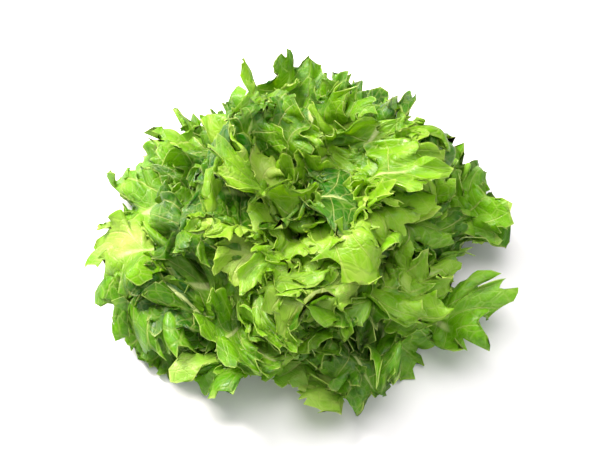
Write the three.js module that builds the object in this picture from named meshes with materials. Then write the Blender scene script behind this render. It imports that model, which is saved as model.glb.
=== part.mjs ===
// A head of loose-leaf lettuce, standing on its cut stem.
// A short domed core carries the leaves in one spiral, a golden angle from each leaf to the next.
// The head is a stack of nested bowls, the widest and flattest at the bottom, and every leaf is a patch
// of its own bowl, so that no two leaves meet. Smooth shear waves then crumple the whole stack at once:
// a shear never folds space onto itself, so the leaves still don't meet afterwards.
// Millimetres, +Z up. The origin is the middle of the flat cut face under the core.

import * as THREE from "three";

// How many leaves grow in each part of the head, from the table up to the heart.
const OUTER_LEAVES = 18;
const MIDDLE_LEAVES = 20;
const HEART_LEAVES = 16;

// The core: a flat cut face, a short neck and a dome that the leaves grow from.
const BUTT_RADIUS = 17;
const CORE_RADIUS = 20;
const CORE_DOME_HEIGHT = 30;
const NECK_HEIGHT = 6;
const CORE_RINGS = 7;
const CORE_SIDES = 28;
const SEAT_GAP = 0.5;

// Leaf sizes, from the outermost leaf to the innermost one.
const OUTER_LENGTH = 128;
const HEART_LENGTH = 84;
const OUTER_WIDTH = 84;
const HEART_WIDTH = 44;
const OUTER_STALK_WIDTH = 18;
const HEART_STALK_WIDTH = 7;
const LENGTH_VARIES = 0.06;
const WIDTH_VARIES = 0.1;
const AZIMUTH_VARIES = 4;
const SIDEWAYS_BEND = 26;

// The outline of one leaf, in shares of its length: where the stalk opens into the blade, where the blade is
// at its broadest, and where the blunt end starts. Sizes of the rounding are shares of the half width.
const STALK_ENDS = 0.08;
const BROADEST = 0.72;
const END_STARTS = 0.66;
const END_LASTS = 0.36;
const END_NARROWS = 0.8;
const CORNERS_ROUND_FROM = 0.6;
const CORNERS_ROUNDED = 0.2;
const BEND_STARTS = 0.15;
const BEND_ENDS = 1.15;

// The outline from above: how much further the leaves reach out towards one, two, three or four sides, as a
// share of their length, and the azimuth in degrees of one of those sides.
const FIRST_AZIMUTH = 250;
const OUTLINE = [
  { sides: 1, reach: 0.055, azimuth: 125 },
  { sides: 2, reach: 0.045, azimuth: -10 },
  { sides: 3, reach: 0.05, azimuth: 105 },
  { sides: 4, reach: 0.05, azimuth: 115 },
];

// Leaf thickness: the blade, and the midrib at the stalk.
const BLADE_THICKNESS = 0.9;
const OUTER_RIB_THICKNESS = 2.4;
const HEART_RIB_THICKNESS = 1.1;
const RIB_HALF_SHARE = 0.67;
const RIB_ENDS = 0.9;

// The meridian of each bowl: a straight run that climbs at the bowl's pitch, then an arc that turns outwards.
const OUTER_PITCH = -3;
const HEART_PITCH = 84;
const OUTER_LIFT = 12;
const OUTER_TURN = 57;
const MIDDLE_TURN = 58;
const HEART_TURN = 24;
const STRAIGHT_SHARE = 0.4;
const HIGHEST_SEAT = 80;

// The crumple: shear waves, each shorter than the one before. None reaches the stalks.
const WAVE_COUNT = 6;
const LONGEST_WAVE = 120;
const WAVE_SHRINK = 0.87;
const WAVE_SLOPE = 0.5;
const WAVE_PHASE = 1.7;
const WAVE_TWIST = 2.1;
const WAVE_RISE = 1.3;
const FIRST_WAVE_AROUND = 0.6;
const CALM_RADIUS = 30;
const FULL_CRUMPLE_RADIUS = 105;

// Leaves that come lower than this are laid down towards the table, and stop this far above it.
const FLOOR_REST = 9;
const FLOOR_GAP = 0.6;

// How finely the leaves are divided.
const ROW_LENGTH = 15;
const WIDE_COLUMNS = 8;
const NARROW_COLUMNS = 4;
const NARROW_LEAF = 62;
const NORMAL_STEP = 0.01;
const LOWER_FACE = 3;

// What turns a leaf's number into an even scatter of numbers.
const SCATTER_LEAF = 12.9898;
const SCATTER_USE = 78.233;
const SCATTER_SIZE = 43758.5453;

const GOLDEN_ANGLE = Math.PI * (3 - Math.sqrt(5));
const LEAVES = OUTER_LEAVES + MIDDLE_LEAVES + HEART_LEAVES;
const { lerp, smoothstep, degToRad, clamp } = THREE.MathUtils;

// A steady number from -1 to 1 for each leaf and use.
function varied(index, use) {
  const turn = Math.sin(index * SCATTER_LEAF + use * SCATTER_USE) * SCATTER_SIZE;
  return 2 * (turn - Math.floor(turn)) - 1;
}

// Everything that sets one leaf apart. Inward is 0 on the outermost leaf and 1 on the innermost.
function leafAt(index) {
  const inward = index / (LEAVES - 1);
  const azimuth = degToRad(FIRST_AZIMUTH + AZIMUTH_VARIES * varied(index, 1)) + index * GOLDEN_ANGLE;
  let reach = 1 + LENGTH_VARIES * varied(index, 2);
  for (const side of OUTLINE) {
    reach += side.reach * Math.cos(side.sides * (azimuth - degToRad(side.azimuth)));
  }
  return {
    index,
    inward,
    azimuth,
    length: lerp(OUTER_LENGTH, HEART_LENGTH, inward),
    reach,
    halfWidth: (lerp(OUTER_WIDTH, HEART_WIDTH, inward) / 2) * (1 + WIDTH_VARIES * varied(index, 3)),
    halfStalk: lerp(OUTER_STALK_WIDTH, HEART_STALK_WIDTH, inward) / 2,
    swing: degToRad(SIDEWAYS_BEND * varied(index, 4)),
    rib: lerp(OUTER_RIB_THICKNESS, HEART_RIB_THICKNESS, inward),
  };
}

// Half the width of a leaf at a share of its length: a narrow stalk, a broad blade and a blunt round end.
function halfWidthAt(leaf, along) {
  const blade = lerp(leaf.halfStalk, leaf.halfWidth, smoothstep(along, STALK_ENDS, BROADEST));
  const end = clamp((along - END_STARTS) / END_LASTS, 0, 1);
  return blade * Math.sqrt(1 - END_NARROWS * end ** 3);
}

// A point on a bowl's meridian, as its distance from the axis and its height.
function meridian(inward, length, run) {
  const seat = degToRad(HIGHEST_SEAT) * inward;
  const climb = Math.asin(lerp(Math.sin(degToRad(OUTER_PITCH)), Math.sin(degToRad(HEART_PITCH)), inward));
  const start = climb + degToRad(OUTER_LIFT) * (1 - inward);
  const turn = degToRad(
    inward < 0.5
      ? lerp(OUTER_TURN, MIDDLE_TURN, 2 * inward)
      : lerp(MIDDLE_TURN, HEART_TURN, 2 * inward - 1),
  );
  const straight = Math.min(run, STRAIGHT_SHARE * length);
  const radius = ((1 - STRAIGHT_SHARE) * length) / turn;
  const end = start - (run - straight) / radius;
  return {
    out:
      (CORE_RADIUS + SEAT_GAP) * Math.cos(seat) +
      straight * Math.cos(start) +
      radius * (Math.sin(start) - Math.sin(end)),
    up:
      NECK_HEIGHT +
      (CORE_DOME_HEIGHT + SEAT_GAP) * Math.sin(seat) +
      straight * Math.sin(start) +
      radius * (Math.cos(end) - Math.cos(start)),
  };
}

// The shear waves. Each moves points across its own direction of travel.
const WAVES = Array.from({ length: WAVE_COUNT }, (_, k) => {
  const height = 1 - (2 * k + 1) / WAVE_COUNT;
  const around = k * GOLDEN_ANGLE + FIRST_WAVE_AROUND;
  const level = Math.sqrt(1 - height ** 2);
  const travel = new THREE.Vector3(level * Math.cos(around), level * Math.sin(around), height);
  const lift = new THREE.Vector3(Math.cos(WAVE_TWIST * k), Math.sin(WAVE_TWIST * k), WAVE_RISE);
  return {
    travel,
    push: lift.addScaledVector(travel, -lift.dot(travel)).normalize(),
    length: LONGEST_WAVE * WAVE_SHRINK ** k,
    phase: WAVE_PHASE * k,
  };
});

// Moves a point with the waves, and lays what would pass through the table flat on it.
function crumple(point) {
  const middle = NECK_HEIGHT + CORE_DOME_HEIGHT / 2;
  const away = Math.hypot(point.x, point.y, point.z - middle);
  const share = smoothstep(away, CALM_RADIUS, FULL_CRUMPLE_RADIUS);
  for (const wave of WAVES) {
    const rate = (2 * Math.PI) / wave.length;
    const size = (WAVE_SLOPE / rate) * share;
    point.addScaledVector(wave.push, size * Math.sin(rate * point.dot(wave.travel) + wave.phase));
  }
  if (point.z < FLOOR_REST) {
    const room = FLOOR_REST - FLOOR_GAP;
    point.z = FLOOR_GAP + room * Math.exp((point.z - FLOOR_REST) / room);
  }
  return point;
}

// The middle surface of a leaf. Along runs 0 to 1 from the stalk to the tip, across runs -1 to 1.
function leafSurface(leaf, along, across) {
  const rounding = CORNERS_ROUNDED * leaf.halfWidth * smoothstep(along, CORNERS_ROUND_FROM, 1) * across ** 2;
  const run = along * leaf.length * leaf.reach - rounding;
  const { out, up } = meridian(leaf.inward, leaf.length, run);
  const sideways = across * halfWidthAt(leaf, along);
  const bend = leaf.swing * smoothstep(along, BEND_STARTS, BEND_ENDS);
  const around = leaf.azimuth + bend + sideways / out;
  return crumple(new THREE.Vector3(out * Math.cos(around), out * Math.sin(around), up));
}

// How thick the leaf is: the blade, and a midrib that fades out towards the tip and the edges.
function thicknessAt(leaf, along, across) {
  const crest = Math.max(0, 1 - Math.abs(across) / RIB_HALF_SHARE) * (1 - smoothstep(along, 0, RIB_ENDS));
  return lerp(BLADE_THICKNESS, leaf.rib, crest);
}

// Splits the lower face's squares along the same diagonals as the upper face's, so that a twisted leaf keeps
// its thickness everywhere.
function matchDiagonals(geometry) {
  const index = geometry.getIndex();
  const { start, count } = geometry.groups[LOWER_FACE];
  for (let i = start; i < start + count; i += 6) {
    const [a, b, d, , c] = index.array.slice(i, i + 6);
    index.array.set([a, b, c, a, c, d], i);
  }
}

// A box whose width, depth and height are bent into the leaf's width, thickness and length.
function leafGeometry(leaf) {
  const rows = Math.round((leaf.length * leaf.reach) / ROW_LENGTH);
  const columns = 2 * leaf.halfWidth < NARROW_LEAF ? NARROW_COLUMNS : WIDE_COLUMNS;
  const geometry = new THREE.BoxGeometry(2, 2, 1, columns, 1, rows);
  matchDiagonals(geometry);
  const places = geometry.getAttribute("position");
  for (let i = 0; i < places.count; i += 1) {
    const across = places.getX(i);
    const along = 0.5 + places.getZ(i);
    const place = leafSurface(leaf, along, across);
    const lengthwise = leafSurface(leaf, along + NORMAL_STEP, across).sub(place);
    const crosswise = leafSurface(leaf, along, across + NORMAL_STEP).sub(place);
    const outwards = lengthwise.cross(crosswise).normalize();
    place.addScaledVector(outwards, (places.getY(i) * thicknessAt(leaf, along, across)) / 2);
    places.setXYZ(i, place.x, place.y, place.z);
  }
  return geometry;
}

function coreGeometry() {
  const profile = [new THREE.Vector2(0, 0), new THREE.Vector2(BUTT_RADIUS, 0)];
  for (let k = 0; k < CORE_RINGS; k += 1) {
    const rise = (k / CORE_RINGS) * (Math.PI / 2);
    const height = NECK_HEIGHT + CORE_DOME_HEIGHT * Math.sin(rise);
    profile.push(new THREE.Vector2(CORE_RADIUS * Math.cos(rise), height));
  }
  profile.push(new THREE.Vector2(0, NECK_HEIGHT + CORE_DOME_HEIGHT));
  return new THREE.LatheGeometry(profile, CORE_SIDES).rotateX(Math.PI / 2);
}

function material(color, roughness) {
  return new THREE.MeshStandardMaterial({ color, roughness, metalness: 0 });
}

const RINGS = [
  { name: "outer_leaf", count: OUTER_LEAVES, material: material(0x4f9a22, 0.45) },
  { name: "middle_leaf", count: MIDDLE_LEAVES, material: material(0x74b02a, 0.42) },
  { name: "heart_leaf", count: HEART_LEAVES, material: material(0xa6c944, 0.4) },
];

const lettuce = new THREE.Group();

const core = new THREE.Mesh(coreGeometry(), material(0xe6e8c2, 0.55));
core.name = "core";
lettuce.add(core);

let nextLeaf = 0;
for (const ring of RINGS) {
  for (let k = 1; k <= ring.count; k += 1) {
    const leaf = new THREE.Mesh(leafGeometry(leafAt(nextLeaf)), ring.material);
    leaf.name = `${ring.name}_${String(k).padStart(2, "0")}`;
    lettuce.add(leaf);
    nextLeaf += 1;
  }
}

export default lettuce;
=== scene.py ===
"""A head of loose-leaf lettuce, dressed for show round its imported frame.

The frame's leaves are plain sheets: patches of nested bowls, crumpled together by shear waves. Here each one
becomes a real leaf that grows on the same bowl, with a toothed and lobed outline, frills along its edge, a
midrib, veins and blistered tissue between them. Its ends turn aside within the bowl and stand off it. Metres,
+Z up, in the frame's own place.
"""

import math

import bpy
import numpy as np
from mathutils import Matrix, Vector


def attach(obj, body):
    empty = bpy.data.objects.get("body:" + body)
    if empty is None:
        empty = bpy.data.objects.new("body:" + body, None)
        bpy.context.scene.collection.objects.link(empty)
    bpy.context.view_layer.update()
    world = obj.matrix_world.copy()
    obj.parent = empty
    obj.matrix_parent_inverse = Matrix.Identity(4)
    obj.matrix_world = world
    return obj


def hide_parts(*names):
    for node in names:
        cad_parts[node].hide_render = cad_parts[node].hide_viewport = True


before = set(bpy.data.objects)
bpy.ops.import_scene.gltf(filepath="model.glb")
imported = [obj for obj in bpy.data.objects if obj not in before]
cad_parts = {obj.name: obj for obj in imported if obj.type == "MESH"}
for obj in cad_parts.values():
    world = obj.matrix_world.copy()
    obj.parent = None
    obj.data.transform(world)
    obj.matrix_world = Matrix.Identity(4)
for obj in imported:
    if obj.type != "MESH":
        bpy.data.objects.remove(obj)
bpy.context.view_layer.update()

MM = 0.001
GOLDEN_ANGLE = math.pi * (3 - math.sqrt(5))

# ---------------------------------------------------------------------------------------------------------
# The bowls and the waves that the frame's leaves were made with, in millimetres and degrees.

RINGS = ("outer_leaf", "middle_leaf", "heart_leaf")
LEAF_NODES = [n for ring in RINGS for n in sorted(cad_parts) if n.startswith(ring)]
LEAVES = len(LEAF_NODES)

CORE_RADIUS, CORE_DOME_HEIGHT, NECK_HEIGHT, SEAT_GAP = 20, 30, 6, 0.5
OUTER_LENGTH, HEART_LENGTH = 128, 84
OUTER_WIDTH, HEART_WIDTH = 84, 44
OUTER_STALK_WIDTH, HEART_STALK_WIDTH = 18, 7
LENGTH_VARIES, WIDTH_VARIES, AZIMUTH_VARIES, SIDEWAYS_BEND = 0.06, 0.1, 4, 26
FIRST_AZIMUTH = 250
OUTLINE = ((1, 0.055, 125), (2, 0.045, -10), (3, 0.05, 105), (4, 0.05, 115))  # sides, reach, azimuth of one
OUTER_PITCH, HEART_PITCH, OUTER_LIFT = -3, 84, 12
OUTER_TURN, MIDDLE_TURN, HEART_TURN = 57, 58, 24
STRAIGHT_SHARE, HIGHEST_SEAT = 0.4, 80
WAVE_COUNT, LONGEST_WAVE, WAVE_SHRINK, WAVE_SLOPE = 6, 120, 0.87, 0.5
CALM_RADIUS, FULL_CRUMPLE_RADIUS = 30, 105
FLOOR_REST, FLOOR_GAP = 9, 0.6
AXIS_EASE = 14  # nearer the axis than this, a step across a leaf no longer turns it much faster


def mix(low, high, share):
    return low + (high - low) * share


def ease(value, low, high):
    """0 below low and 1 above high, with a smooth change between."""
    share = np.clip((value - low) / (high - low), 0, 1)
    return share * share * (3 - 2 * share)


def varied(index, use):
    """A steady number from -1 to 1 for each leaf and use."""
    turn = np.sin(index * 12.9898 + use * 78.233) * 43758.5453
    return 2 * (turn - np.floor(turn)) - 1


class Leaf:
    """Everything that sets one leaf apart. Inward is 0 on the outermost leaf and 1 on the innermost."""

    def __init__(self, index):
        self.index = index
        self.inward = inward = index / (LEAVES - 1)
        self.azimuth = math.radians(FIRST_AZIMUTH + AZIMUTH_VARIES * varied(index, 1)) + index * GOLDEN_ANGLE
        outline = sum(
            reach * math.cos(sides * (self.azimuth - math.radians(side))) for sides, reach, side in OUTLINE
        )
        self.length = mix(OUTER_LENGTH, HEART_LENGTH, inward)
        self.reach = 1 + outline + LENGTH_VARIES * varied(index, 2)
        self.half_width = mix(OUTER_WIDTH, HEART_WIDTH, inward) / 2 * (1 + WIDTH_VARIES * varied(index, 3))
        self.half_stalk = mix(OUTER_STALK_WIDTH, HEART_STALK_WIDTH, inward) / 2
        self.swing = math.radians(SIDEWAYS_BEND * varied(index, 4))
        self.thick = mix(OUTER_THICK, HEART_THICK, inward)


def meridian(inward, length, run):
    """A point on a bowl's meridian, as its distance from the axis and its height."""
    seat = math.radians(HIGHEST_SEAT) * inward
    climb = math.asin(mix(math.sin(math.radians(OUTER_PITCH)), math.sin(math.radians(HEART_PITCH)), inward))
    start = climb + math.radians(OUTER_LIFT) * (1 - inward)
    if inward < 0.5:
        turn = math.radians(mix(OUTER_TURN, MIDDLE_TURN, 2 * inward))
    else:
        turn = math.radians(mix(MIDDLE_TURN, HEART_TURN, 2 * inward - 1))
    straight = np.minimum(run, STRAIGHT_SHARE * length)
    radius = (1 - STRAIGHT_SHARE) * length / turn
    end = start - (run - straight) / radius
    out = (
        (CORE_RADIUS + SEAT_GAP) * math.cos(seat)
        + straight * math.cos(start)
        + radius * (math.sin(start) - np.sin(end))
    )
    up = (
        NECK_HEIGHT
        + (CORE_DOME_HEIGHT + SEAT_GAP) * math.sin(seat)
        + straight * math.sin(start)
        + radius * (np.cos(end) - math.cos(start))
    )
    return out, up


def shear_waves():
    waves = []
    for k in range(WAVE_COUNT):
        height = 1 - (2 * k + 1) / WAVE_COUNT
        around = k * GOLDEN_ANGLE + 0.6
        level = math.sqrt(1 - height**2)
        travel = np.array([level * math.cos(around), level * math.sin(around), height])
        lift = np.array([math.cos(2.1 * k), math.sin(2.1 * k), 1.3])
        push = lift - lift.dot(travel) * travel
        waves.append((travel, push / np.linalg.norm(push), LONGEST_WAVE * WAVE_SHRINK**k, 1.7 * k))
    return waves


WAVES = shear_waves()


def lay_down(height):
    """Heights under the rest level are laid down towards the table."""
    room = FLOOR_REST - FLOOR_GAP
    low = FLOOR_GAP + room * np.exp(np.minimum(height - FLOOR_REST, 0) / room)
    return np.where(height < FLOOR_REST, low, height)


def crumple(points):
    """Moves points with the waves, and lays what would pass through the table flat on it."""
    middle = np.array([0, 0, NECK_HEIGHT + CORE_DOME_HEIGHT / 2])
    away = np.linalg.norm(points - middle, axis=-1)
    share = ease(away, CALM_RADIUS, FULL_CRUMPLE_RADIUS)
    points = points.copy()
    for travel, push, length, phase in WAVES:
        rate = 2 * math.pi / length
        size = WAVE_SLOPE / rate * share * np.sin(rate * (points @ travel) + phase)
        points += push * size[..., None]
    points[..., 2] = lay_down(points[..., 2])
    return points


def on_bowl(leaf, run, sideways):
    """The middle surface of a leaf, from the way along it and the way across it."""
    out, up = meridian(leaf.inward, leaf.length, run)
    bend = leaf.swing * ease(run / (leaf.length * leaf.reach), 0.15, 1.15)
    around = leaf.azimuth + bend + sideways / np.hypot(out, AXIS_EASE)
    return crumple(np.stack([out * np.cos(around), out * np.sin(around), up], axis=-1))


# ---------------------------------------------------------------------------------------------------------
# The leaves as sheets: an end blade on the midrib and lobes beside it, each with a flat outline and the
# height of every point off the bowl.

ROWS, COLUMNS = ((52, 26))
COARSE = 4  # the leaves are pushed apart on every second or fourth row and column
LOBES = 5  # the flaps of a leaf: the end blade and four side lobes

# Sizes of the flaps, in millimetres or as shares of the leaf or of the flap. What varies goes both ways.
OUTER_LOBE_LENGTH, HEART_LOBE_LENGTH, LOBE_LENGTH_VARIES = 50, 44, 0.16
LOBE_HALF_WIDTH, LOBE_WIDTH_VARIES = 0.52, 0.07
END_LENGTH, END_HALF_WIDTH, END_WIDTH_VARIES = 0.95, 0.60, 0.08
NOTCH_DEPTH, NOTCH_VARIES, CORNER_REACH = 0.34, 0.12, 0.20
BIG_TOOTH, SMALL_TOOTH = 0.19, 0.12
RUFFLE_HEIGHT, RUFFLE_SLIDE = 0.34, 0.10
# Height, waves round the blade, how fast they fade inwards, and the first of the two phases that each uses.
FRILLS = ((0.15, 10, 2.0, 10), (0.11, 18, 3.5, 12))
CURL, CURL_LENGTH, HEART_CURLS_IN = 0.30, 60, 0.9
VEIN_SPACING, VEIN_WIDTH = 0.11, 1.6
LOBE_ROOT, LOBE_ROOT_STEP, LOBE_ROOT_VARIES, LOBE_LIFT = 0.71, 0.105, 0.03, 1.0
OUTER_THICK, HEART_THICK, MARGIN_THICK = 2.4, 1.5, 0.55
UV_SIZE = 160

# Angles of the flaps, in degrees.
TWIST, FOLD, FOLD_VARIES = 32, 8, 24
LOBE_SLANT, LOBE_SLANT_VARIES = 48, 26
OUTER_LOBE_TILT, HEART_LOBE_TILT, LOBE_TILT_VARIES = 15, -20, 15
HEADING_TURN = 56
HEADINGS = 322  # the use number that varies the midribs' headings, picked from many for the head's outline

# The least and the most that the leaves may reach along x, y and z, and how low they may lie.
ROOM = ((-156, 150), (-135, 148), (-20, 136))
LOWEST = 1.2


def saw(turns):
    """A tooth profile from -1 to 1, with sharp points and round notches."""
    return 1 - 2 * np.abs(2 * (turns - np.floor(turns)) - 1) ** 0.8


class Sheet:
    """One flap of a leaf as a grid of points. Rows run from its stalk to its tip, columns from edge to edge.

    Flap 0 is the end blade with the whole midrib. The others are side lobes, from the tip back to the stalk.
    """

    def __init__(self, leaf, lobe):
        self.leaf, self.lobe = leaf, lobe
        seed = leaf.index * LOBES + lobe
        phase = [math.pi * varied(seed, 20 + k) for k in range(24)]
        chance = [varied(seed, 60 + k) for k in range(16)]
        rows = np.linspace(0, 1, ROWS + 1) ** 0.9
        columns = np.linspace(1, -1, COLUMNS + 1)
        columns = np.sin(columns * 1.2) / math.sin(1.2)
        along, across = np.meshgrid(rows, columns, indexing="ij")
        leaf_long = leaf.length * leaf.reach
        if lobe:
            long = mix(OUTER_LOBE_LENGTH, HEART_LOBE_LENGTH, leaf.inward)
            long = long * (1 + LOBE_LENGTH_VARIES * chance[0])
            half = long * (LOBE_HALF_WIDTH + LOBE_WIDTH_VARIES * chance[1])
            stalk, opens, blade_starts, blade_full = 0.3 * half, 0.0, 0.0, 0.3
            centre = 0.5 * long
        else:
            long = END_LENGTH * leaf_long
            half = leaf.half_width * (END_HALF_WIDTH + END_WIDTH_VARIES * chance[1])
            stalk, opens, blade_starts, blade_full = leaf.half_stalk, 0.3, 0.45, 0.7
            centre = long - 1.1 * half
        tip = np.clip((along - 0.7) / 0.32, 0, 1)
        wide = mix(stalk, half, ease(along, opens, 0.72)) * np.sqrt(1 - 0.75 * tip**3)
        x = across * wide
        y = along * long - 0.2 * half * ease(along, 0.6, 1) * across**2

        # Round the blade: the angle and the distance from a point on the midrib.
        angle = np.arctan2(x, y - centre)
        away = np.hypot(x, y - centre) + 1e-6
        blade = ease(along, blade_starts, blade_full)
        side = np.maximum(np.abs(across), ease(along, centre / long, 1) ** 1.1)

        # Notches cut corners into the outline, and the corners rise, droop and arch by themselves.
        turn = (7.0 + 1.5 * chance[2]) * angle + phase[0] + 0.9 * np.sin(1.7 * angle + phase[1])
        share = turn / (2 * math.pi)
        notch = np.abs(2 * (share - np.floor(share)) - 1) ** 0.9
        depth = NOTCH_DEPTH + NOTCH_VARIES * np.sin(2.6 * angle + phase[3])
        turns = (7 + 2 * chance[3]) * angle / math.pi + 0.6 * np.sin(3.1 * angle + phase[4])
        points = (14 + 2 * chance[4]) * angle / math.pi + 0.7 * np.sin(4.3 * angle + phase[5])
        uneven = 0.6 + 0.4 * np.sin(3.3 * angle + phase[6])
        edge = np.maximum(np.abs(across) ** 7, along**14)
        teeth = (BIG_TOOTH * saw(turns) * uneven + SMALL_TOOTH * saw(points)) * edge
        shift = half * blade * (teeth + (CORNER_REACH - depth * notch) * side**1.8)
        x = x + shift * x / away
        y = y + shift * (y - centre) / away

        lift = np.sin(turn / 2) * (0.8 + 0.5 * np.sin(1.9 * angle + phase[7]))
        lift = lift + 0.45 * np.sin(2.4 * angle + phase[8])
        arch = 1.2 * side**1.5 - 0.45 * side**5 * (1 + 1.4 * np.sin(3.1 * angle + phase[9]))
        height = RUFFLE_HEIGHT * half * blade * lift * arch
        slide = -RUFFLE_SLIDE * half * blade * side**2 * np.sin(turn)
        for size, waves, power, k in FRILLS:
            theta = (waves + 1.2 * chance[k - 5]) * angle + phase[k]
            theta += 1.2 * np.sin(2.3 * angle + phase[k + 1])
            strength = size * half * blade * side**power
            height += strength * np.sin(theta)
            slide -= 0.3 * strength * np.sin(2 * theta)
        x = x + slide * (y - centre) / away
        y = y - slide * x / away

        # How the flap as a whole twists, folds along its midrib and curls at its tip.
        twist = math.tan(math.radians(TWIST * chance[10]))
        fold = math.tan(math.radians(FOLD + FOLD_VARIES * chance[11]))
        height += ease(along, 0.2, 1.0) * (twist * x + fold * (np.hypot(x, 5) - 5))
        curl = CURL * min(long, CURL_LENGTH) * (chance[12] - HEART_CURLS_IN * leaf.inward)
        height += curl * ease(along, 0.5, 1.1) ** 1.5

        # Side veins leave the midrib forwards, and the tissue swells between them.
        spacing = VEIN_SPACING * leaf.length
        wander = 2.2 * np.sin(0.09 * y + phase[14]) + 1.6 * np.sin(0.17 * x + phase[15])
        cell = (y - 0.85 * np.abs(x) + 0.006 * x**2 + wander) / spacing + 0.5 * (x > 0)
        near = np.abs(cell - np.round(cell)) * spacing
        vein = np.exp(-((near / VEIN_WIDTH) ** 2)) * ease(np.abs(x), 0.5, 4)
        vein = vein * (1 - 0.6 * side**3) * ease(along, 0.1, 0.3)
        thick_rib = mix(2.8, 1.4, leaf.inward) if lobe == 0 else 1.0
        rib = np.exp(-((x / (0.6 + thick_rib * (1 - along) ** 1.2)) ** 2)) * (1 - ease(along, 0.55, 0.98))
        blister = np.sin(0.36 * x + phase[16] + 0.8 * np.sin(0.19 * y)) * np.sin(0.33 * y + phase[17])
        tissue = blade * (1 - vein) * ((1 - side**4) * 0.6 + 0.6 * blister)
        self.relief = tissue - 1.1 * rib + 0.3

        # A side lobe grows out of the midrib at a slant.
        if lobe:
            slant = math.radians(LOBE_SLANT + LOBE_SLANT_VARIES * chance[13])
            outwards = (1 if (lobe + leaf.index) % 2 else -1) * slant
            root = leaf_long * (LOBE_ROOT - LOBE_ROOT_STEP * lobe + LOBE_ROOT_VARIES * chance[14])
            tilt = mix(OUTER_LOBE_TILT, HEART_LOBE_TILT, leaf.inward) + LOBE_TILT_VARIES * chance[15]
            height += LOBE_LIFT * lobe + math.tan(math.radians(tilt)) * y
            cosine, sine = math.cos(outwards), math.sin(outwards)
            x, y = x * cosine + y * sine, y * cosine - x * sine
            y = y + root

        self.x, self.y, self.along, self.side = x, y, along, side
        self.rib, self.cell = rib, cell
        # The rim marks the flap's edge, where the shader paints a thin pale band of rim light.
        self.rim = np.zeros_like(x)
        self.rim[:, 0] = self.rim[:, -1] = self.rim[-1, :] = 1
        self.points = self.stand_on_bowl(x, y, height)

    def stand_on_bowl(self, x, y, height):
        """Where the flat flap's points lie: on the leaf's own bowl, each its height off it."""
        leaf = self.leaf
        # The midrib bends sideways within the bowl, so that the leaf ends point every way.
        share = np.linspace(0, 1.5, 400)
        heading = math.radians(HEADING_TURN * varied(leaf.index, HEADINGS)) * ease(share, 0.22, 0.85)
        ahead = share * (leaf.length * leaf.reach)
        paces = np.gradient(ahead)
        bent_y = np.cumsum(np.cos(heading) * paces)
        bent_x = np.cumsum(np.sin(heading) * paces)
        turned = np.interp(y, ahead, heading)
        run = np.interp(y, ahead, bent_y - bent_y[0]) - x * np.sin(turned)
        run = np.maximum(run, 0.2)
        sideways = np.interp(y, ahead, bent_x - bent_x[0]) + x * np.cos(turned)
        base = on_bowl(leaf, run, sideways)
        step = 0.4
        lengthwise = on_bowl(leaf, run + step, sideways) - base
        crosswise = on_bowl(leaf, run, sideways + step) - base
        normal = np.cross(lengthwise, crosswise)
        up = normal / np.linalg.norm(normal, axis=-1, keepdims=True)
        return base + up * height[..., None]

    def finish(self):
        """Adds the fine relief, keeps the leaf off the table and eases its ends into their room."""
        points = self.points
        normal = grid_normals(points)
        points = points + normal * self.relief[..., None]
        level = points[..., 2]
        laid = LOWEST * (1 + np.exp(level / LOWEST - 2))
        points[..., 2] = np.where(level < 2 * LOWEST, laid, level)
        points = reach_out(points)
        for axis, (least, most) in enumerate(ROOM):
            points[..., axis] = hold(points[..., axis], least, most)
        self.points = points


# Where the loose leaf ends reach further out or less far: azimuth and its spread in degrees, the change as a
# share of the distance, and how much higher they stand in millimetres.
REACHES = (
    (103, 22, 0.07, 16),
    (3, 13, 0.15, 0),
    (31, 9, 0.16, 4),
    (53, 10, -0.09, 0),
    (168, 12, -0.10, 0),
    (322, 12, -0.06, 0),
)


def reach_out(points):
    """Moves the leaf ends smoothly, further out or in and up. The move itself makes no leaf cross another."""
    points = points.copy()
    azimuth = np.degrees(np.arctan2(points[..., 1], points[..., 0]))
    outer = ease(np.hypot(points[..., 0], points[..., 1]), 50, 115)
    for middle, spread_over, share, rise in REACHES:
        apart = (azimuth - middle + 180) % 360 - 180
        amount = np.exp(-((apart / spread_over) ** 2)) * outer
        points[..., :2] *= (1 + share * amount)[..., None]
        points[..., 2] += rise * amount
    return points


def hold(values, least, most, soft=14.0):
    """Eases values in so that they stay between two limits."""
    high = most - soft + soft * np.tanh((values - most + soft) / soft)
    values = np.where(values > most - soft, high, values)
    low = least + soft - soft * np.tanh((least + soft - values) / soft)
    return np.where(values < least + soft, low, values)


def grid_normals(points):
    """The upper side's direction at each point of a grid."""
    rows = np.gradient(points, axis=0)
    columns = -np.gradient(points, axis=1)
    normal = np.cross(rows, columns)
    return normal / (np.linalg.norm(normal, axis=-1, keepdims=True) + 1e-9)


def smooth(grid, passes):
    """Evens a grid of vectors out along its rows and columns."""
    for _ in range(passes):
        padded = np.pad(grid, ((1, 1), (1, 1), (0, 0)), mode="edge")
        around = padded[:-2, 1:-1] + padded[2:, 1:-1] + padded[1:-1, :-2] + padded[1:-1, 2:]
        grid = 0.5 * grid + 0.125 * around
    return grid


def near_pairs(points, radius):
    """Index pairs of points that lie in the same or in neighbouring cells of a grid as wide as the radius."""
    cells = np.floor((points - points.min(axis=0)) / radius).astype(np.int64) + 1
    size = cells.max(axis=0) + 2
    key = (cells[:, 0] * size[1] + cells[:, 1]) * size[2] + cells[:, 2]
    order = np.argsort(key, kind="stable")
    ordered = key[order]
    first, second = [], []
    for dx in (-1, 0, 1):
        for dy in (-1, 0, 1):
            for dz in (-1, 0, 1):
                other = key + (dx * size[1] + dy) * size[2] + dz
                start = np.searchsorted(ordered, other, "left")
                count = np.searchsorted(ordered, other, "right") - start
                within = np.arange(count.sum()) - np.repeat(np.cumsum(count) - count, count)
                first.append(np.repeat(np.arange(len(points)), count))
                second.append(order[within + np.repeat(start, count)])
    return np.concatenate(first), np.concatenate(second)


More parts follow.
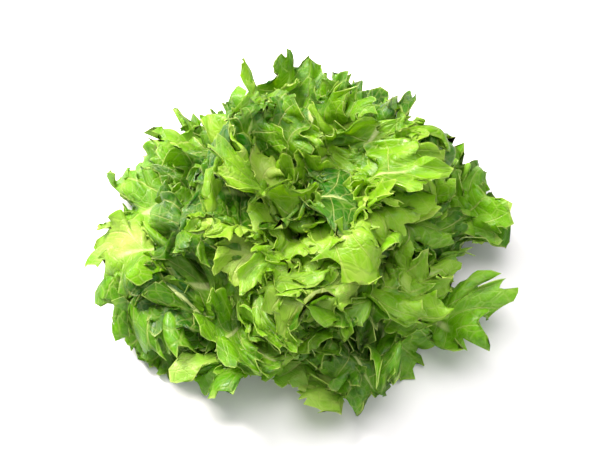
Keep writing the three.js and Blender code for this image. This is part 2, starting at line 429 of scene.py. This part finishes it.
def settle(sheets, rounds=4, reach=9.0, gap=1.2, beside=5.0, lowest=1.6, pace=0.9):
    """Pushes flaps apart where frills meet, each below those that grow further in. Some still cross."""
    coarse = [s.points[::COARSE, ::COARSE] for s in sheets]
    shape = coarse[0].shape
    owner = np.repeat(np.arange(len(sheets)), shape[0] * shape[1])
    loose = np.concatenate([ease(s.along[::COARSE, ::COARSE], 0.08, 0.35).ravel() for s in sheets])
    start = np.concatenate([c.reshape(-1, 3) for c in coarse])
    points = start.copy()
    for turn in range(rounds):
        grids = [points[owner == k].reshape(shape) for k in range(len(sheets))]
        normal = np.concatenate([grid_normals(grid).reshape(-1, 3) for grid in grids])
        if turn % 3 == 0:  # the neighbours are looked up afresh
            low, high = near_pairs(points, reach)
            keep = owner[low] < owner[high]
            low, high = low[keep], high[keep]
            keep = np.linalg.norm(points[low] - points[high], axis=1) < 1.3 * reach
            low, high = low[keep], high[keep]
        mean = normal[low] + normal[high]
        mean /= np.linalg.norm(mean, axis=1, keepdims=True) + 1e-9
        between = points[high] - points[low]
        rise = (between * mean).sum(axis=1)
        aside = np.linalg.norm(between - mean * rise[:, None], axis=1)
        agree = np.clip((normal[low] * normal[high]).sum(axis=1), 0, 1)
        weight = np.clip(1 - aside / beside, 0, 1) * agree
        short = np.clip(gap - rise, 0, reach)
        use = (weight > 0) & (short > 0)
        move = np.zeros_like(points)
        total = np.full(len(points), 1e-6)
        push = mean[use] * (0.5 * short[use] * weight[use])[:, None]
        for axis in range(3):
            move[:, axis] += np.bincount(high[use], push[:, axis], len(points))
            move[:, axis] -= np.bincount(low[use], push[:, axis], len(points))
        met = np.bincount(high[use], weight[use], len(points))
        met = met + np.bincount(low[use], weight[use], len(points))
        total += met
        move = move / np.maximum(total, 0.5)[:, None] * loose[:, None]
        for k in range(len(sheets)):
            mine = owner == k
            move[mine] = smooth(move[mine].reshape(shape), 1).reshape(-1, 3)
        points += pace * move
        points[:, 2] = np.maximum(points[:, 2], lowest)
    shift = points - start
    for k, sheet in enumerate(sheets):
        sheet.points = sheet.points + spread(shift[owner == k].reshape(shape), sheet.points.shape)


def spread(coarse, shape):
    """A coarse grid of vectors, stretched over a finer grid."""
    rows = np.linspace(0, coarse.shape[0] - 1, shape[0])
    columns = np.linspace(0, coarse.shape[1] - 1, shape[1])
    r0 = np.clip(rows.astype(int), 0, coarse.shape[0] - 2)
    c0 = np.clip(columns.astype(int), 0, coarse.shape[1] - 2)
    fr = (rows - r0)[:, None, None]
    fc = (columns - c0)[None, :, None]
    top = coarse[r0][:, c0] * (1 - fc) + coarse[r0][:, c0 + 1] * fc
    bottom = coarse[r0 + 1][:, c0] * (1 - fc) + coarse[r0 + 1][:, c0 + 1] * fc
    return smooth(top * (1 - fr) + bottom * fr, 4)


# The leaf ends here are painted paler, a painted highlight for light that washes them out: the patch's middle
# and size in millimetres, and how much paler.
PAINTED_HIGHLIGHT_SPOT, PAINTED_HIGHLIGHT_SIZE, PAINTED_HIGHLIGHT_STRENGTH = np.array([-124, -8]), 15, 2.2


def make_flap(sheet):
    bpy.ops.object.select_all(action="DESELECT")
    bpy.ops.mesh.primitive_grid_add(x_subdivisions=COLUMNS, y_subdivisions=ROWS, size=2)
    piece = bpy.context.object
    mesh = piece.data
    mesh.vertices.foreach_set("co", (sheet.points * MM).astype(np.float32).ravel())
    uv = np.stack([0.5 + sheet.x / UV_SIZE, sheet.y / UV_SIZE], axis=-1).reshape(-1, 2)
    loops = np.zeros(len(mesh.loops), np.int32)
    mesh.loops.foreach_get("vertex_index", loops)
    mesh.uv_layers[0].name = "leaf"
    mesh.uv_layers[0].data.foreach_set("uv", uv[loops].astype(np.float32).ravel())
    leaf = sheet.leaf
    # A random tone for each leaf and flap, with the painted highlight near the spot added on top.
    tone_and_highlight = varied(leaf.index, 90) + 0.7 * varied(leaf.index * LOBES + sheet.lobe, 91)
    # Painted highlight: leaves near the spot are painted paler.
    from_highlight = ((sheet.points[..., :2] - PAINTED_HIGHLIGHT_SPOT) ** 2).sum(axis=-1)
    painted_highlight = PAINTED_HIGHLIGHT_STRENGTH * np.exp(-from_highlight / (2 * PAINTED_HIGHLIGHT_SIZE**2))
    fields = {
        "rib": sheet.rib,
        "climb": sheet.cell,
        "rim": sheet.rim,
        "side": sheet.side,
        "along": sheet.along if sheet.lobe == 0 else 0.45 + 0.55 * sheet.along,
        "tone_and_highlight": tone_and_highlight + painted_highlight,
    }
    for name, values in fields.items():
        attribute = mesh.attributes.new(name, "FLOAT", "POINT")
        attribute.data.foreach_set("value", values.astype(np.float32).ravel())
    group = piece.vertex_groups.new(name="thick")
    weights = MARGIN_THICK / leaf.thick + 0.9 * sheet.rib * (1 - sheet.along)
    weights = np.round(np.clip(weights, 0, 1).ravel(), 2)
    for level in np.unique(weights):
        group.add([int(i) for i in np.nonzero(weights == level)[0]], float(level), "REPLACE")
    mesh.update()
    return piece


def make_leaf(sheets, node, material):
    flaps = [make_flap(sheet) for sheet in sheets]
    bpy.ops.object.select_all(action="DESELECT")
    for flap in flaps:
        flap.select_set(True)
    piece = flaps[0]
    bpy.context.view_layer.objects.active = piece
    bpy.ops.object.join()
    piece.name = "ruffled_" + node
    solid = piece.modifiers.new("Solidify", "SOLIDIFY")
    solid.thickness = sheets[0].leaf.thick * MM
    solid.offset = -1
    solid.vertex_group = "thick"
    bpy.ops.object.modifier_apply(modifier=solid.name)
    bpy.ops.object.shade_smooth_by_angle(angle=math.radians(60))
    piece.data.materials.clear()
    piece.data.materials.append(material)
    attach(piece, "root")
    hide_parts(node)
    return piece


# ---------------------------------------------------------------------------------------------------------
# Materials.


def math_node(tree, operation, a, b=None, clamp=False):
    node = tree.nodes.new("ShaderNodeMath")
    node.operation = operation
    node.use_clamp = clamp
    for socket, value in zip(node.inputs, (a, b)):
        if value is None:
            continue
        if isinstance(value, (int, float)):
            socket.default_value = value
        else:
            tree.links.new(value, socket)
    return node.outputs[0]


def map_range(tree, value, low, high, to_low=0.0, to_high=1.0):
    node = tree.nodes.new("ShaderNodeMapRange")
    node.interpolation_type = "SMOOTHSTEP"
    tree.links.new(value, node.inputs["Value"])
    for name, number in (("From Min", low), ("From Max", high), ("To Min", to_low), ("To Max", to_high)):
        node.inputs[name].default_value = number
    return node.outputs["Result"]


def mix_color(tree, share, a, b):
    node = tree.nodes.new("ShaderNodeMix")
    node.data_type = "RGBA"
    sockets = [s for s in node.inputs if s.type == "RGBA"]
    for socket, value in zip([node.inputs["Factor"]] + sockets, (share, a, b)):
        if isinstance(value, (int, float, tuple)):
            socket.default_value = value
        else:
            tree.links.new(value, socket)
    return next(s for s in node.outputs if s.type == "RGBA")


def attribute(tree, name):
    node = tree.nodes.new("ShaderNodeAttribute")
    node.attribute_name = name
    return node.outputs["Fac"]


def leaf_tissue():
    """Lettuce tissue: green cells, pale ribs and veins, a thin pale band along the edge that is painted rim
    light, and the relief of all of them.
    """
    tree = bpy.data.node_groups.new("Leaf tissue", "ShaderNodeTree")
    for name, kind in (
        ("Deep", "NodeSocketColor"),
        ("Fresh", "NodeSocketColor"),
        ("Pale", "NodeSocketColor"),
        ("Rib", "NodeSocketColor"),
        ("Paleness", "NodeSocketFloat"),
    ):
        tree.interface.new_socket(name=name, in_out="INPUT", socket_type=kind)
    for name, kind in (
        ("Color", "NodeSocketColor"),
        ("Roughness", "NodeSocketFloat"),
        ("Height", "NodeSocketFloat"),
    ):
        tree.interface.new_socket(name=name, in_out="OUTPUT", socket_type=kind)
    given = tree.nodes.new("NodeGroupInput")
    made = tree.nodes.new("NodeGroupOutput")
    uv = tree.nodes.new("ShaderNodeUVMap")
    uv.uv_map = "leaf"
    place = tree.nodes.new("ShaderNodeTexCoord")

    def noise(coordinates, scale, detail, roughness=0.55, distortion=0.0):
        node = tree.nodes.new("ShaderNodeTexNoise")
        tree.links.new(coordinates, node.inputs["Vector"])
        node.inputs["Scale"].default_value = scale
        node.inputs["Detail"].default_value = detail
        node.inputs["Roughness"].default_value = roughness
        node.inputs["Distortion"].default_value = distortion
        return node.outputs["Fac"]

    def cell_walls(scale, width):
        node = tree.nodes.new("ShaderNodeTexVoronoi")
        node.feature = "DISTANCE_TO_EDGE"
        tree.links.new(uv.outputs["UV"], node.inputs["Vector"])
        node.inputs["Scale"].default_value = scale
        return map_range(tree, node.outputs["Distance"], 0.0, width, 1.0, 0.0)

    blotches = noise(place.outputs["Object"], 34, 3)
    grain = noise(uv.outputs["UV"], 300, 3, 0.6)
    swirl = noise(uv.outputs["UV"], 22, 4, 0.6, 0.6)
    net_line = cell_walls(30, 0.09)
    fine_line = cell_walls(85, 0.12)

    rib, rim, side = attribute(tree, "rib"), attribute(tree, "rim"), attribute(tree, "side")
    along, tone_and_highlight, climb = attribute(tree, "along"), attribute(tree, "tone_and_highlight"), attribute(tree, "climb")

    # A thin line where the climbing count passes a whole number is a side vein.
    nearest = math_node(tree, "ROUND", climb)
    apart = math_node(tree, "ABSOLUTE", math_node(tree, "SUBTRACT", climb, nearest))
    inner = map_range(tree, side, 0.55, 1.0, 1.0, 0.35)
    vein = math_node(tree, "MULTIPLY", map_range(tree, apart, 0.008, 0.05, 1.0, 0.0), inner)

    blotchy = math_node(tree, "MULTIPLY", blotches, 0.55)
    swirly = math_node(tree, "MULTIPLY", swirl, 0.45)
    green = math_node(tree, "ADD", blotchy, swirly)
    # The random tone and the painted highlight push the green towards fresh and pale.
    green = math_node(tree, "ADD", green, math_node(tree, "MULTIPLY", tone_and_highlight, 0.17))
    color = mix_color(tree, map_range(tree, green, 0.22, 0.72), given.outputs["Deep"], given.outputs["Fresh"])
    color = mix_color(tree, map_range(tree, green, 0.51, 1.0, 0.0, 0.66), color, given.outputs["Pale"])
    base = map_range(tree, along, 0.15, 0.62, 1.0, 0.0)
    base = math_node(tree, "MULTIPLY", base, given.outputs["Paleness"], clamp=True)
    color = mix_color(tree, base, color, given.outputs["Pale"])
    pale_veins = math_node(tree, "MULTIPLY", vein, 0.62)
    pale_net = math_node(tree, "MULTIPLY", net_line, 0.22)
    lines = math_node(tree, "MAXIMUM", pale_veins, pale_net)
    lines = math_node(tree, "MAXIMUM", lines, math_node(tree, "MULTIPLY", fine_line, 0.10))
    color = mix_color(tree, lines, color, given.outputs["Pale"])
    # A thin pale band along the edge: painted rim light.
    painted_rim_light = map_range(tree, rim, 0.35, 1.0, 0.0, 0.42)
    color = mix_color(tree, painted_rim_light, color, given.outputs["Pale"])
    color = mix_color(tree, map_range(tree, rib, 0.15, 0.75), color, given.outputs["Rib"])
    tree.links.new(color, made.inputs["Color"])

    dull_swirl = math_node(tree, "MULTIPLY", swirl, 0.22)
    dull_grain = math_node(tree, "MULTIPLY", grain, 0.12)
    rough = math_node(tree, "ADD", dull_swirl, dull_grain)
    tree.links.new(math_node(tree, "ADD", rough, 0.17), made.inputs["Roughness"])
    relief = math_node(tree, "MULTIPLY", grain, 0.25)
    relief = math_node(tree, "SUBTRACT", relief, math_node(tree, "MULTIPLY", vein, 0.9))
    relief = math_node(tree, "SUBTRACT", relief, math_node(tree, "MULTIPLY", net_line, 0.45))
    relief = math_node(tree, "SUBTRACT", relief, math_node(tree, "MULTIPLY", fine_line, 0.2))
    relief = math_node(tree, "ADD", relief, math_node(tree, "MULTIPLY", swirl, 0.8))
    tree.links.new(relief, made.inputs["Height"])
    return tree


TISSUE = leaf_tissue()


def srgb(red, green, blue):
    """A colour as it looks on a screen, from 0 to 255, as the light values that the shaders use."""
    return tuple((c / 255) ** 2.2 for c in (red, green, blue)) + (1.0,)


def leaf_material(name, deep, fresh, pale, rib, paleness, through, share):
    material = bpy.data.materials.new(name)
    material.use_nodes = True
    tree = material.node_tree
    tree.nodes.clear()
    group = tree.nodes.new("ShaderNodeGroup")
    group.node_tree = TISSUE
    given = {"Deep": deep, "Fresh": fresh, "Pale": pale, "Rib": rib, "Paleness": paleness}
    for socket, value in given.items():
        group.inputs[socket].default_value = value
    skin = tree.nodes.new("ShaderNodeBsdfPrincipled")
    skin.inputs["Specular IOR Level"].default_value = 0.4
    skin.inputs["Coat Weight"].default_value = 0.12
    skin.inputs["Coat Roughness"].default_value = 0.16
    bump = tree.nodes.new("ShaderNodeBump")
    bump.inputs["Strength"].default_value = 0.55
    bump.inputs["Distance"].default_value = 0.0012
    glow = tree.nodes.new("ShaderNodeBsdfTranslucent")
    glow.inputs["Color"].default_value = through
    both = tree.nodes.new("ShaderNodeMixShader")
    both.inputs["Fac"].default_value = share
    out = tree.nodes.new("ShaderNodeOutputMaterial")
    link = tree.links.new
    link(group.outputs["Color"], skin.inputs["Base Color"])
    link(group.outputs["Roughness"], skin.inputs["Roughness"])
    link(group.outputs["Height"], bump.inputs["Height"])
    link(bump.outputs["Normal"], skin.inputs["Normal"])
    link(skin.outputs["BSDF"], both.inputs[1])
    link(glow.outputs["BSDF"], both.inputs[2])
    link(both.outputs["Shader"], out.inputs["Surface"])
    return material


PALE = srgb(220, 224, 128)
RIB = srgb(204, 220, 138)
LEAF_MATERIALS = {
    "outer_leaf": leaf_material(
        "Outer leaf", srgb(15, 82, 3), srgb(120, 188, 6), PALE, RIB, 0.22, srgb(163, 211, 3), 0.44
    ),
    "middle_leaf": leaf_material(
        "Middle leaf", srgb(18, 90, 4), srgb(132, 194, 10), PALE, RIB, 0.28, srgb(171, 214, 6), 0.46
    ),
    "heart_leaf": leaf_material(
        "Heart leaf", srgb(29, 105, 6), srgb(144, 200, 16), PALE, RIB, 0.36, srgb(182, 218, 12), 0.47
    ),
}


def core_material():
    material = bpy.data.materials.new("Cut core")
    material.use_nodes = True
    tree = material.node_tree
    skin = tree.nodes["Principled BSDF"]
    place = tree.nodes.new("ShaderNodeTexCoord")
    fibres = tree.nodes.new("ShaderNodeTexNoise")
    fibres.inputs["Scale"].default_value = 260
    fibres.inputs["Detail"].default_value = 5
    tree.links.new(place.outputs["Object"], fibres.inputs["Vector"])
    patches = tree.nodes.new("ShaderNodeTexNoise")
    patches.inputs["Scale"].default_value = 70
    tree.links.new(place.outputs["Object"], patches.inputs["Vector"])
    parts = tree.nodes.new("ShaderNodeSeparateXYZ")
    tree.links.new(place.outputs["Object"], parts.inputs["Vector"])
    x_squared = math_node(tree, "POWER", parts.outputs["X"], 2)
    y_squared = math_node(tree, "POWER", parts.outputs["Y"], 2)
    away = math_node(tree, "SQRT", math_node(tree, "ADD", x_squared, y_squared))
    bark = map_range(tree, away, 0.0125, 0.0165)
    color = mix_color(tree, fibres.outputs["Fac"], srgb(236, 238, 205), srgb(205, 218, 150))
    color = mix_color(tree, math_node(tree, "MULTIPLY", bark, 0.7), color, srgb(186, 205, 120))
    stain = map_range(tree, patches.outputs["Fac"], 0.52, 0.75, 0.0, 0.55)
    color = mix_color(tree, stain, color, srgb(190, 140, 84))
    tree.links.new(color, skin.inputs["Base Color"])
    rough = map_range(tree, fibres.outputs["Fac"], 0.3, 0.7, 0.38, 0.62)
    tree.links.new(rough, skin.inputs["Roughness"])
    bump = tree.nodes.new("ShaderNodeBump")
    bump.inputs["Strength"].default_value = 0.5
    bump.inputs["Distance"].default_value = 0.0008
    tree.links.new(fibres.outputs["Fac"], bump.inputs["Height"])
    tree.links.new(bump.outputs["Normal"], skin.inputs["Normal"])
    return material


# How far the stem's skin and the top of its dome lie inside the frame's core, in millimetres.
CORE_INSET, DOME_INSET = 0.6, 0.8


def make_core():
    """The stem: a flat cut face with a soft rim, a neck, and a dome scarred in a spiral where leaves grow."""
    bpy.ops.object.select_all(action="DESELECT")
    bpy.ops.mesh.primitive_uv_sphere_add(segments=96, ring_count=64, radius=1)
    piece = bpy.context.object
    piece.name = "cut_core"
    mesh = piece.data
    points = np.zeros(len(mesh.vertices) * 3)
    mesh.vertices.foreach_get("co", points)
    points = points.reshape(-1, 3)
    around = np.arctan2(points[:, 1], points[:, 0])
    rise = np.arcsin(np.clip(points[:, 2], -1, 1))
    level = np.clip(rise / (math.pi / 2), -1, 1)
    under = np.clip(-level, 0, 1)
    over = np.clip(level, 0, 1)
    rim = 0.82 * (1 - ease(under, 0.5, 1.0)) ** 0.9
    neck = np.where(under < 0.5, 1 - 0.18 * ease(under, 0, 0.5), rim)
    out = (CORE_RADIUS - CORE_INSET) * np.where(level >= 0, np.cos(over * math.pi / 2), neck)
    up = np.where(
        level >= 0,
        NECK_HEIGHT + (CORE_DOME_HEIGHT - DOME_INSET) * np.sin(over * math.pi / 2),
        NECK_HEIGHT * (1 - ease(under, 0.0, 0.52)),
    )
    scars = np.sin(8 * around + 14 * level) * np.sin(13 * around - 9 * level)
    bumps = 0.35 * scars * np.sin(math.pi * np.clip(level + 0.15, 0, 1)) - 0.25
    out = np.maximum(out + bumps * (out > 6), 0)
    place = np.stack([out * np.cos(around), out * np.sin(around), up], axis=1)
    mesh.vertices.foreach_set("co", (place * MM).astype(np.float32).ravel())
    mesh.update()
    bpy.ops.object.mode_set(mode="EDIT")
    bpy.ops.mesh.select_all(action="SELECT")
    bpy.ops.mesh.normals_make_consistent(inside=False)
    bpy.ops.object.mode_set(mode="OBJECT")
    bpy.ops.object.shade_smooth_by_angle(angle=math.radians(40))
    mesh.materials.clear()
    mesh.materials.append(core_material())
    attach(piece, "root")
    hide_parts("core")


# ---------------------------------------------------------------------------------------------------------
# The head.

leaves = [Leaf(index) for index in range(LEAVES)]
sheets = [Sheet(leaf, lobe) for leaf in leaves for lobe in range(LOBES)]
settle(sheets)
for sheet in sheets:
    sheet.finish()
for index, node in enumerate(LEAF_NODES):
    flaps = sheets[index * LOBES : (index + 1) * LOBES]
    make_leaf(flaps, node, LEAF_MATERIALS[node.rsplit("_", 1)[0]])
make_core()

# ---------------------------------------------------------------------------------------------------------
# The table, the light and the camera.


def make_table():
    bpy.ops.object.select_all(action="DESELECT")
    bpy.ops.mesh.primitive_plane_add(size=8)
    table = bpy.context.object
    table.name = "table_top"
    material = bpy.data.materials.new("White table")
    material.use_nodes = True
    skin = material.node_tree.nodes["Principled BSDF"]
    skin.inputs["Base Color"].default_value = (0.86, 0.86, 0.87, 1)
    skin.inputs["Roughness"].default_value = 0.7
    skin.inputs["Specular IOR Level"].default_value = 0.2
    table.data.materials.append(material)


def aim(lamp, target):
    lamp.rotation_euler = (Vector(target) - lamp.location).to_track_quat("-Z", "Y").to_euler()


def area_lamp(name, place, size, power, color, target=(0, 0, 0.04)):
    bpy.ops.object.light_add(type="AREA", location=place)
    lamp = bpy.context.object
    lamp.name = name
    lamp.data.shape = "RECTANGLE"
    lamp.data.size, lamp.data.size_y = size
    lamp.data.energy = power
    lamp.data.color = color
    aim(lamp, target)


make_table()
area_lamp("key_lamp", (-0.75, 0.55, 1.05), (0.45, 0.45), 45, (1.0, 0.92, 0.88))
area_lamp("top_lamp", (0.1, 0.1, 1.5), (1.0, 1.0), 20, (1.0, 0.95, 0.95))
area_lamp("front_lamp", (0.6, -1.2, 0.7), (1.0, 0.6), 5, (1.0, 1.0, 1.0))

world = bpy.data.worlds.new("White studio")
bpy.context.scene.world = world
world.use_nodes = True
sky = world.node_tree.nodes["Background"]
sky.inputs["Color"].default_value = (1.0, 1.0, 1.0, 1)
sky.inputs["Strength"].default_value = 0.44

CAMERA_ELEVATION = 58
CAMERA_DISTANCE = 0.98
CAMERA_LENS = 85
AIM = Vector((-0.002, 0.001, 0.052))
tilt = math.radians(CAMERA_ELEVATION)
bpy.ops.object.camera_add(location=AIM + CAMERA_DISTANCE * Vector((0, -math.cos(tilt), math.sin(tilt))))
camera = bpy.context.object
camera.rotation_euler = (AIM - camera.location).to_track_quat("-Z", "Y").to_euler()
camera.data.lens = CAMERA_LENS
camera.data.clip_start = 0.01
bpy.context.scene.camera = camera
bpy.context.scene.view_settings.view_transform = "Standard"
bpy.context.scene.view_settings.look = "None"
